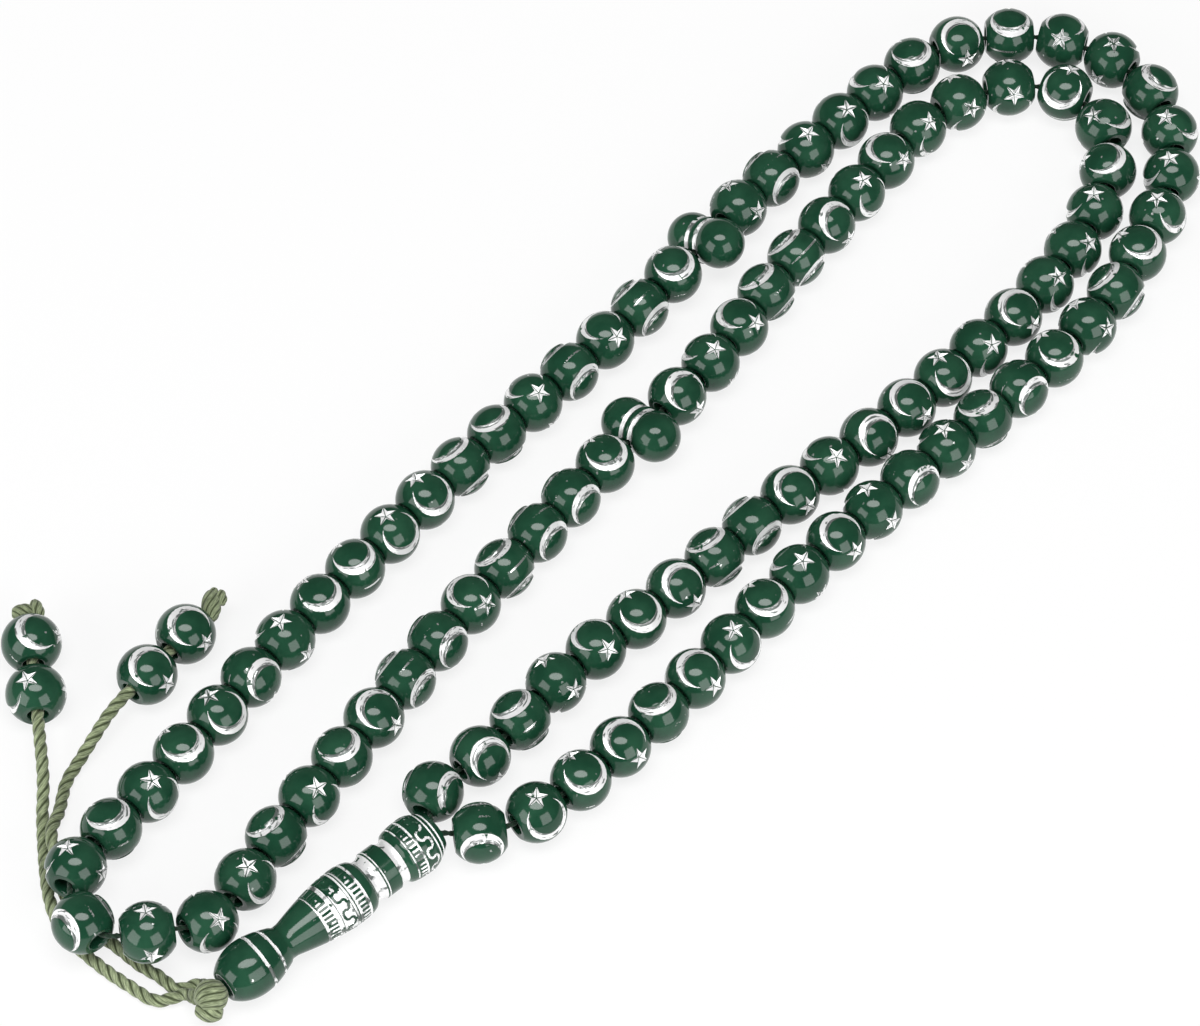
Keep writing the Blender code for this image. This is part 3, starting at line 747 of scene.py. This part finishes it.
run_starts = [0, 17, 33, 50, 66, 83, BEAD_COUNT]
cuts = [(a + b) // 2 for a, b in zip(bead_stations[:-1], bead_stations[1:])]
for number, (start, end) in enumerate(zip(run_starts[:-1], run_starts[1:]), start=1):
    run_start = cuts[start - 1] if start else 0
    run_end = cuts[end - 1] if end < BEAD_COUNT else len(path) - 1
    thread_points = path[run_start:run_end + 1:STRING_SAMPLES]
    pieces = [rope(thread_points, STRING_DIAMETER / 2, 2, STRING_PITCH, 10, 2)]
    for index in range(start, end):
        name = f"bead_{index + 1:02d}"
        turned = BEAD_TURNS[index]
        if name in joint_of:
            joint = joint_of[name]
            free = placed(bead, bead_frame(joint["pos_m"], joint["axis"], turned))
            piece = add_piece(f"counting_{name}", [free], [bead_green, bead_silver])
            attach(piece, name)
            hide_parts(name)
        else:
            station = bead_stations[index]
            pieces.append(placed(bead, bead_frame(path[station], ways[station], turned)))
    run = add_piece(f"threaded_run_{number}", pieces, [bead_green, bead_silver, string_green])
    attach(run, "strand")
    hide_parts(f"string_run_{number}")

# Markers
# Two moulded dumbbells between the groups of 33: two balls, and a ring between two silvered grooves.
# The string crosses each one through its ring.
MARKER_BORE = 2.0 * MM
MARKER_COLUMNS = 160
PARTING_ROWS = slice(-24, -13)

band_silver = silver_foil("silver_bands", False)


def turned_mesh(name, profile, columns, silver):
    """Spin (radius, height) points about Z into a mesh, silver where a table by row and column says so."""
    places = []
    faces = []
    slots = []
    for radius, height in profile:
        for k in range(columns):
            turn = 2 * math.pi * k / columns
            places.append((radius * math.cos(turn), radius * math.sin(turn), height))
    for row in range(len(profile) - 1):
        for k in range(columns):
            after = (k + 1) % columns
            low = row * columns
            high = low + columns
            faces.append((low + k, low + after, high + after, high + k))
            slots.append(int(silver[row, k]))
    mesh = bpy.data.meshes.new(name)
    mesh.from_pydata(places, [], faces)
    mesh.polygons.foreach_set("material_index", slots)
    mesh.polygons.foreach_set("use_smooth", [True] * len(faces))
    return mesh


def marker_profile():
    """Give the marker's outline from its lower tip up, and which rows of its faces are silver."""
    groove_angle = math.asin(groove_radius / ball_radius)
    ring_half = MARKER_RING_LENGTH / 2
    ring_bulge = MARKER_RING_DIAMETER / 2 - groove_radius
    groove_end = ring_half + MARKER_GROOVE_LENGTH
    ball = [
        (ball_radius * math.sin(angle), ball_height + ball_radius * math.cos(angle))
        for angle in np.linspace(0.002, math.pi - groove_angle, 30)
    ]
    groove = [
        (groove_radius - 0.12 * MM * math.sin(math.pi * share), groove_end - MARKER_GROOVE_LENGTH * share)
        for share in (0.2, 0.4, 0.6, 0.8, 1.0)
    ]
    ring = [
        (groove_radius + ring_bulge * math.sin(angle), ring_half * math.cos(angle))
        for angle in np.linspace(0.25, math.pi / 2, 6)
    ]
    upper = ball + groove + ring
    lower = [(radius, -height) for radius, height in upper[:-1]]
    profile = lower + upper[::-1]
    first = len(ball) - 1
    silver = np.zeros(len(profile) - 1, bool)
    silver[first - 1:first + len(groove) + 2] = True
    return profile, silver | silver[::-1]


for number in (1, 2):
    name = f"marker_{number}"
    joint = joint_of[name]
    place = Vector(joint["pos_m"])
    crossing = Vector(joint["axis"]).normalized()
    solid = np.array([vertex.co for vertex in frame["nodes"][name].data.vertices])
    long_axis = Vector(np.linalg.svd(solid - solid.mean(axis=0))[2][0])
    if long_axis.y > 0:
        long_axis = -long_axis
    long_axis = (long_axis - crossing * long_axis.dot(crossing)).normalized()
    marker_turn = Matrix((crossing, long_axis.cross(crossing), long_axis)).transposed().to_4x4()
    marker_frame = Matrix.Translation(place) @ marker_turn
    profile, silver_rows = marker_profile()
    silver = np.repeat(silver_rows[:, None], MARKER_COLUMNS, axis=1)
    below = marker_turn.to_3x3().transposed() @ -camera_up
    parting = math.atan2(below.y, below.x) / (2 * math.pi) % 1.0
    silver[PARTING_ROWS, int(parting * MARKER_COLUMNS)] = True
    body = bpy.data.objects.new("marker_body", turned_mesh("marker_body", profile, MARKER_COLUMNS, silver))
    body.data.materials.append(bead_green)
    body.data.materials.append(band_silver)
    bpy.context.scene.collection.objects.link(body)
    bpy.ops.mesh.primitive_cylinder_add(
        vertices=32, radius=MARKER_BORE / 2, depth=3 * ball_radius, rotation=(0, math.pi / 2, 0)
    )
    drill = bpy.context.object
    bore = body.modifiers.new("bore", "BOOLEAN")
    bore.operation = "DIFFERENCE"
    bore.object = drill
    bpy.context.view_layer.update()
    drilled = bpy.data.meshes.new_from_object(body.evaluated_get(bpy.context.evaluated_depsgraph_get()))
    drilled.transform(marker_frame)
    drilled.set_sharp_from_angle(angle=math.radians(40))
    bpy.data.objects.remove(body)
    bpy.data.objects.remove(drill)
    piece = bpy.data.objects.new(f"dumbbell_{number}", drilled)
    bpy.context.scene.collection.objects.link(piece)
    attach(piece, name)
    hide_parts(name)

# Imame
# The long moulded head piece: foot ball, vase body, collar between two coves, barrel head, bored through.
# Its bands are moulded in relief and silvered in the hollows; both ends of the string run into its head.
IMAME_COLUMNS = 324
IMAME_BORE = 3.0 * MM
FOOT_DIAMETER = 7.7 * MM
FOOT_FACE_DIAMETER = 4.4 * MM
FOOT_LENGTH = 9.0 * MM
FOOT_WIDEST = 4.1 * MM
WAIST_DIAMETER = 4.8 * MM
WAIST_LENGTH = 1.1 * MM
BODY_DIAMETER = 7.9 * MM
BODY_FLARE_LENGTH = 9.7 * MM
SHOULDER_DIAMETER = 6.3 * MM
SHOULDER_LENGTH = 2.6 * MM
COVE_DIAMETER = 5.9 * MM
COVE_LENGTH = 1.7 * MM
COLLAR_DIAMETER = 6.8 * MM
COLLAR_LENGTH = 2.1 * MM
HEAD_ROOT_DIAMETER = 7.0 * MM
HEAD_DIAMETER = 8.0 * MM
HEAD_RISE_LENGTH = 3.1 * MM
HEAD_CROWN_LENGTH = 3.1 * MM
HEAD_FACE_DIAMETER = 5.2 * MM
RELIEF_DEPTH = 0.14 * MM
MOUTH_ROUND = 0.25 * MM
LADDER_BARS = 36
MEANDERS = 9
# The fine lines round the piece: height and width in mm, and how far a line wavers
FINE_LINES = (
    (14.3, 0.16), (16.1, 0.16), (19.2, 0.16), (20.8, 0.16), (16.42, 0.14), (18.75, 0.14),
    (30.05, 0.16), (32.5, 0.14), (33.2, 0.14), (24.3, 0.16), (28.65, 0.14),
    (5.2, 0.36, 0.08), (7.3, 0.32, 0.06),
)
# One side is rubbed: from and to these turns, in degrees, its hollows have lost their silver
RUBBED_FROM = -128.0
RUBBED_TO = -24.0

flare_start = FOOT_LENGTH + WAIST_LENGTH
body_widest = flare_start + BODY_FLARE_LENGTH
shoulder_end = body_widest + SHOULDER_LENGTH
collar_start = shoulder_end + COVE_LENGTH
collar_end = collar_start + COLLAR_LENGTH
head_start = collar_end + COVE_LENGTH
head_widest = head_start + HEAD_RISE_LENGTH
imame_length = head_widest + HEAD_CROWN_LENGTH
face_swing = math.acos(FOOT_FACE_DIAMETER / FOOT_DIAMETER)
foot_front = FOOT_WIDEST / math.sin(face_swing)
foot_back = 1.16 * (FOOT_LENGTH - FOOT_WIDEST)


def cove(share, before, after):
    """Give a hollow's radius between two edges, share 0 to 1 across it."""
    rim = before + (after - before) * share
    middle = (before + after) / 2 - COVE_DIAMETER / 2
    return rim - middle * math.sin(math.pi * share)


def imame_radius(height):
    """Give the head piece's radius at a height above its foot face."""
    if height <= FOOT_LENGTH:
        rise = (height - FOOT_WIDEST) / (foot_front if height < FOOT_WIDEST else foot_back)
        ball = FOOT_DIAMETER / 2 * math.sqrt(max(0.0, 1 - rise ** 2))
        return ball if height < FOOT_WIDEST else math.hypot(ball, WAIST_DIAMETER / 2 * rise ** 2)
    if height <= flare_start:
        return WAIST_DIAMETER / 2
    if height <= body_widest:
        swell = math.sin((height - flare_start) / BODY_FLARE_LENGTH * math.pi / 2)
        return (WAIST_DIAMETER + (BODY_DIAMETER - WAIST_DIAMETER) * swell) / 2
    if height <= shoulder_end:
        swell = math.sqrt(1 - ((height - body_widest) / SHOULDER_LENGTH) ** 2)
        return (SHOULDER_DIAMETER + (BODY_DIAMETER - SHOULDER_DIAMETER) * swell) / 2
    if height <= collar_start:
        return cove((height - shoulder_end) / COVE_LENGTH, SHOULDER_DIAMETER / 2, COLLAR_DIAMETER / 2)
    if height <= collar_end:
        return COLLAR_DIAMETER / 2
    if height <= head_start:
        return cove((height - collar_end) / COVE_LENGTH, COLLAR_DIAMETER / 2, HEAD_ROOT_DIAMETER / 2)
    if height <= head_widest:
        swell = math.sqrt(max(0.0, 1 - ((head_widest - height) / HEAD_RISE_LENGTH) ** 2))
        return (HEAD_ROOT_DIAMETER + (HEAD_DIAMETER - HEAD_ROOT_DIAMETER) * swell) / 2
    swell = math.cos(min(1.0, (height - head_widest) / HEAD_CROWN_LENGTH) * math.pi / 2)
    return (HEAD_FACE_DIAMETER + (HEAD_DIAMETER - HEAD_FACE_DIAMETER) * swell) / 2


turns = np.arange(IMAME_COLUMNS) / IMAME_COLUMNS


def line_band(heights, middle, width, wave=0.0):
    """Mark a thin line round the piece, a little uneven where wave is given."""
    course = middle * MM + wave * MM * np.sin(4 * math.pi * turns + middle)
    return np.abs(heights[:, None] - course[None, :]) < width * MM / 2


def ladder_band(heights, low, high, rail, bar_share):
    """Mark the hollows of a ladder: two rails with the spaces between its bars."""
    inside = ((heights > low * MM) & (heights < high * MM))[:, None]
    between = ((heights > (low + rail) * MM) & (heights < (high - rail) * MM))[:, None]
    bar = ((turns * LADDER_BARS) % 1.0 < bar_share)[None, :]
    return inside & ~(between & bar)


def meander_line(heights, middle, swing, width, radius):
    """Mark a winding line that loops from side to side round the piece."""
    sample = np.linspace(-0.5, 1.5, 161)
    across = (sample - 0.105 * np.sin(4 * math.pi * sample)) / MEANDERS * 2 * math.pi * radius
    along = middle + swing * np.sin(2 * math.pi * sample)
    here = (turns * MEANDERS % 1.0) / MEANDERS * 2 * math.pi * radius
    gap = np.full((len(heights), len(turns)), np.inf)
    for x, y in zip(across, along):
        gap = np.minimum(gap, np.hypot(here[None, :] - x, heights[:, None] / MM - y))
    return gap < width / 2


coarse = np.arange(0.0, imame_length / MM, 0.4)
fine_spans = ((4.8, 7.8), (14.1, 21.1), (24.12, 24.6), (28.4, 33.7))
fine = np.concatenate([np.arange(low, high, 0.09) for low, high in fine_spans])
edges = np.array([shoulder_end, collar_start, collar_end, head_start, head_widest, imame_length]) / MM
foil_edges = edges[:4] + np.array([0.1, -0.1, 0.15, -0.4])
heights = np.unique(np.round(np.concatenate([coarse, fine, edges, edges[:4] - 0.03, foil_edges]), 3)) * MM
body_radius_mm = BODY_DIAMETER / 2 / MM
head_radius_mm = HEAD_DIAMETER / 2 / MM
fine_lines = np.any([line_band(heights, *line) for line in FINE_LINES], axis=0)
hollows = ladder_band(heights, 14.3, 16.1, 0.16, 0.66) | ladder_band(heights, 19.2, 20.8, 0.16, 0.66)
meander_band = ((heights > 16.65 * MM) & (heights < 18.5 * MM))[:, None]
hollows |= meander_band & ~meander_line(heights, 17.6, 0.62, 0.42, body_radius_mm)
hollows |= ladder_band(heights, 28.95, 30.0, 0.0, 0.66)
hollows |= meander_line(heights, 31.28, 0.64, 0.28, head_radius_mm)
turn_degrees = (turns * 360.0 + 180.0) % 360.0 - 180.0
ragged = 9.0 * np.sin(heights / MM * 5.3) + 6.0 * np.sin(heights / MM * 13.1)
rubbed = (turn_degrees[None, :] > RUBBED_FROM) & (turn_degrees[None, :] < RUBBED_TO + ragged[:, None])
from_lower, to_lower, from_upper, to_upper = foil_edges * MM
in_cove = ((heights > from_lower) & (heights < to_lower)) | ((heights > from_upper) & (heights < to_upper))
smooth_radii = np.array([imame_radius(height) for height in heights])
radii = smooth_radii[:, None] - (hollows | fine_lines) * RELIEF_DEPTH
silver = fine_lines | (hollows & ~rubbed) | in_cove[:, None]

places = []
for height, ring in zip(heights, radii):
    for turn, radius in zip(turns * 2 * math.pi, ring):
        places.append((radius * math.cos(turn), radius * math.sin(turn), height))
bore_profile = [
    (IMAME_BORE / 2 + MOUTH_ROUND, 0.0), (IMAME_BORE / 2, MOUTH_ROUND),
    (IMAME_BORE / 2, imame_length - MOUTH_ROUND), (IMAME_BORE / 2 + MOUTH_ROUND, imame_length),
]
for radius, height in bore_profile[::-1]:
    for turn in turns * 2 * math.pi:
        places.append((radius * math.cos(turn), radius * math.sin(turn), height))
row_count = len(heights) + len(bore_profile)
faces = []
slots = []
for row in range(row_count):
    low = row * IMAME_COLUMNS
    high = (row + 1) % row_count * IMAME_COLUMNS
    for k in range(IMAME_COLUMNS):
        after = (k + 1) % IMAME_COLUMNS
        faces.append((low + k, low + after, high + after, high + k))
        outside = row < len(heights) - 1
        slots.append(1 if outside and silver[row:row + 2, [k, after]].sum() >= 2 else 0)
joint = joint_of["imame"]
imame_axis = Vector(joint["axis"]).normalized()
solid = np.array([vertex.co for vertex in frame["nodes"]["imame"].data.vertices])
along = (solid - np.array(joint["pos_m"])) @ np.array(imame_axis)
imame_origin = Vector(joint["pos_m"]) + imame_axis * along.min()
imame_mesh = bpy.data.meshes.new("head_piece")
imame_mesh.from_pydata(places, [], faces)
imame_mesh.materials.append(bead_green)
imame_mesh.materials.append(band_silver)
imame_mesh.polygons.foreach_set("material_index", slots)
imame_mesh.polygons.foreach_set("use_smooth", [True] * len(faces))
imame_mesh.set_sharp_from_angle(angle=math.radians(50))
imame_mesh.transform(bead_frame(imame_origin, imame_axis, 0))
imame = bpy.data.objects.new("head_piece", imame_mesh)
bpy.context.scene.collection.objects.link(imame)
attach(imame, "imame")
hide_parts("imame")

# Tail cords and their knots
# Two twisted olive cords, each tied at the foot of the head piece, with an end knot that keeps its beads on.
# The cords pass under the strand's turn and lie free on the table.
FOOT_KNOT_DIAMETER = 4.2 * MM
FOOT_KNOT_LENGTH = 4.4 * MM
# Lobes of each end knot: place aside, ahead and above in mm, swing in degrees, length, thickness, strands
END_KNOT_LOBES = {
    "left": [(0.55, 0.0, 0.0, 8, 3.2, 2.5, 7), (-1.15, 0.1, 0.2, 78, 3.0, 1.9, 5)],
    "right": [
        (0.1, 0.5, 0.0, 52, 4.4, 2.7, 8), (0.9, 1.9, 0.1, 60, 2.2, 1.5, 4),
        (-0.3, 2.2, 0.3, 45, 2.2, 1.5, 4),
    ],
}
CORD_PITCH = 5.4 * MM
CORD_SAMPLE = 0.25 * MM
TAIL_BEAD_GAP = 1.1 * MM
TAIL_BEAD_SLIDE = 4.0 * MM
TAIL_ROUTES = {
    "left": [
        (-97.4, -10.0, 0.06), (-98.4, -7.0, 0), (-99.0, -3.6, 0), (-99.4, 0.0, 0), (-99.5, 3.7, 0),
        (-99.0, 7.3, 0), (-97.4, 10.9, 0), (-95.1, 14.3, 0), (-93.0, 17.0, 0), (-91.2, 19.2, 0.05),
        (-89.6, 21.0, 0.17), (-88.0, 22.6, 0.38), (-86.5, 24.2, 0.7),
    ],
    "right": [
        (-94.6, -10.5, 0.1), (-95.0, -7.8, 0), (-95.6, -4.9, 0), (-95.9, -1.6, 0), (-96.3, 2.0, 0),
        (-96.6, 5.6, 0), (-96.0, 8.9, 0), (-94.8, 11.5, 0), (-93.6, 13.4, 0.2), (-92.5, 15.5, 0.49),
        (-90.9, 17.6, 0.49), (-88.7, 19.0, 0.26), (-86.3, 20.9, 0.08), (-83.9, 22.5, 0.04),
        (-81.9, 23.1, 0.14), (-79.9, 23.5, 0.38), (-77.9, 23.8, 0.7),
    ],
}
TAIL_BEAD_PLACES = {"left": (-79.4, 33.5), "right": (-67.2, 25.5)}
TAIL_BEAD_HEADINGS_DEG = {"left": 53.0, "right": 8.0}
TAIL_BEAD_TURNS = {"left": (40, 125), "right": (95, 95)}

# The cord's own colour, and the painted shade between its plies
CORD_COLOUR = (0.395, 0.462, 0.272, 1)
CORD_SHADOW = (0.045, 0.060, 0.024, 1)
CORD_FIBRE_DEPTH = 0.00006
cord_olive = laid_cord_material("cord_olive", CORD_COLOUR, CORD_SHADOW, CORD_FIBRE_DEPTH)


def bulb(place, axis, length, diameter, strands, pitch):
    """Draw a bundle of strands into a bulb: full in the middle, gathered at both ends."""
    shares = np.linspace(0.0, 1.0, 29)
    points = [place + axis * (length * (share - 0.5)) for share in shares]
    fullness = np.sin(math.pi * (0.06 + 0.88 * shares)) ** 0.45
    return rope(points, diameter / 2 * fullness, strands, pitch, 10 * strands)


foot_knot_middle = imame_origin - imame_axis * (CLEARANCE + FOOT_KNOT_LENGTH / 2)
knot_side = imame_axis.cross(UP).normalized()
if knot_side.y < 0:
    knot_side = -knot_side
cord_leaves = knot_side * math.cos(math.radians(35)) - UP * math.sin(math.radians(35))
lower_lobe = foot_knot_middle - imame_axis * (0.9 * MM) - knot_side * (1.1 * MM) - UP * (0.9 * MM)
lower_lobe_way = (knot_side * 0.8 - imame_axis * 0.6).normalized()
knot_turns = [
    bulb(foot_knot_middle + imame_axis * (0.35 * MM), imame_axis, 3.9 * MM, 4.4 * MM, 13, 26 * MM),
    bulb(lower_lobe, lower_lobe_way, 3.4 * MM, 2.8 * MM, 7, 14 * MM),
]
foot_knot = add_piece("foot_tie", knot_turns, [cord_olive])
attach(foot_knot, "strand")
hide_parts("foot_knot")

for side, spread in (("left", -1), ("right", 1)):
    cord_start = foot_knot_middle + imame_axis * (spread * (TAIL_CORD_DIAMETER + 2 * CLEARANCE) / 2)
    cord_start += cord_leaves * (FOOT_KNOT_DIAMETER / 2 + CLEARANCE)
    heading = math.radians(TAIL_BEAD_HEADINGS_DEG[side])
    way = Vector((math.cos(heading), math.sin(heading), 0.0))
    bead_x, bead_y = TAIL_BEAD_PLACES[side]
    inner_bead = Vector((bead_x * MM, bead_y * MM, bead_radius))
    outer_bead = inner_bead + way * (BEAD_LENGTH + TAIL_BEAD_GAP)
    cord_end = outer_bead + way * bead_half
    straight_start = inner_bead - way * (bead_half + TAIL_BEAD_SLIDE + CLEARANCE)
    on_table = [
        (x * MM, y * MM, cord_radius + lift * (bead_radius - cord_radius))
        for x, y, lift in TAIL_ROUTES[side]
    ]
    route = [cord_start, cord_start + cord_leaves * TAIL_CORD_DIAMETER]
    route += on_table + [straight_start, inner_bead, cord_end]
    cord_path = smooth_route(route, CORD_SAMPLE)
    cord_path[:, 2] = np.maximum(cord_path[:, 2], cord_radius)

    places_on_tail = zip(("inner", "outer"), (inner_bead, outer_bead), TAIL_BEAD_TURNS[side])
    for place_on_tail, middle, degrees in places_on_tail:
        name = f"tail_bead_{side}_{place_on_tail}"
        tail_bead = add_piece(
            f"{place_on_tail}_bead_{side}",
            [placed(bead, bead_frame(middle, way, degrees))],
            [bead_green, bead_silver],
        )
        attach(tail_bead, name)
        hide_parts(name)

    across = UP.cross(way).normalized()
    knot_middle = cord_end + way * (CLEARANCE + 1.2 * MM)
    lobes = []
    for aside, ahead, above, swing, length, diameter, strands in END_KNOT_LOBES[side]:
        lobe_middle = knot_middle + (across * aside + way * ahead + UP * above) * MM
        swing = math.radians(swing)
        lobe_way = across * math.cos(swing) + way * math.sin(swing)
        lobes.append(bulb(lobe_middle, lobe_way, length * MM, diameter * MM, strands, 3 * length * MM))
    end_knot = add_piece(f"end_tie_{side}", lobes, [cord_olive])
    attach(end_knot, "strand")
    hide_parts(f"end_knot_{side}")

    drawn_in = cord_start - cord_leaves * (1.2 * MM)
    crown = 1.14 * cord_radius
    laid_path = np.vstack([drawn_in, cord_path]) + np.array(UP) * (crown - cord_radius)
    laid = rope(laid_path, crown, 3, CORD_PITCH, 24)
    cord = add_piece(f"tail_line_{side}", [laid], [cord_olive])
    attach(cord, "strand")
    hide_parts(f"tail_cord_{side}")
    cord_path[::4].tolist() + [cord_path[-1].tolist()]

bpy.context.view_layer.update()
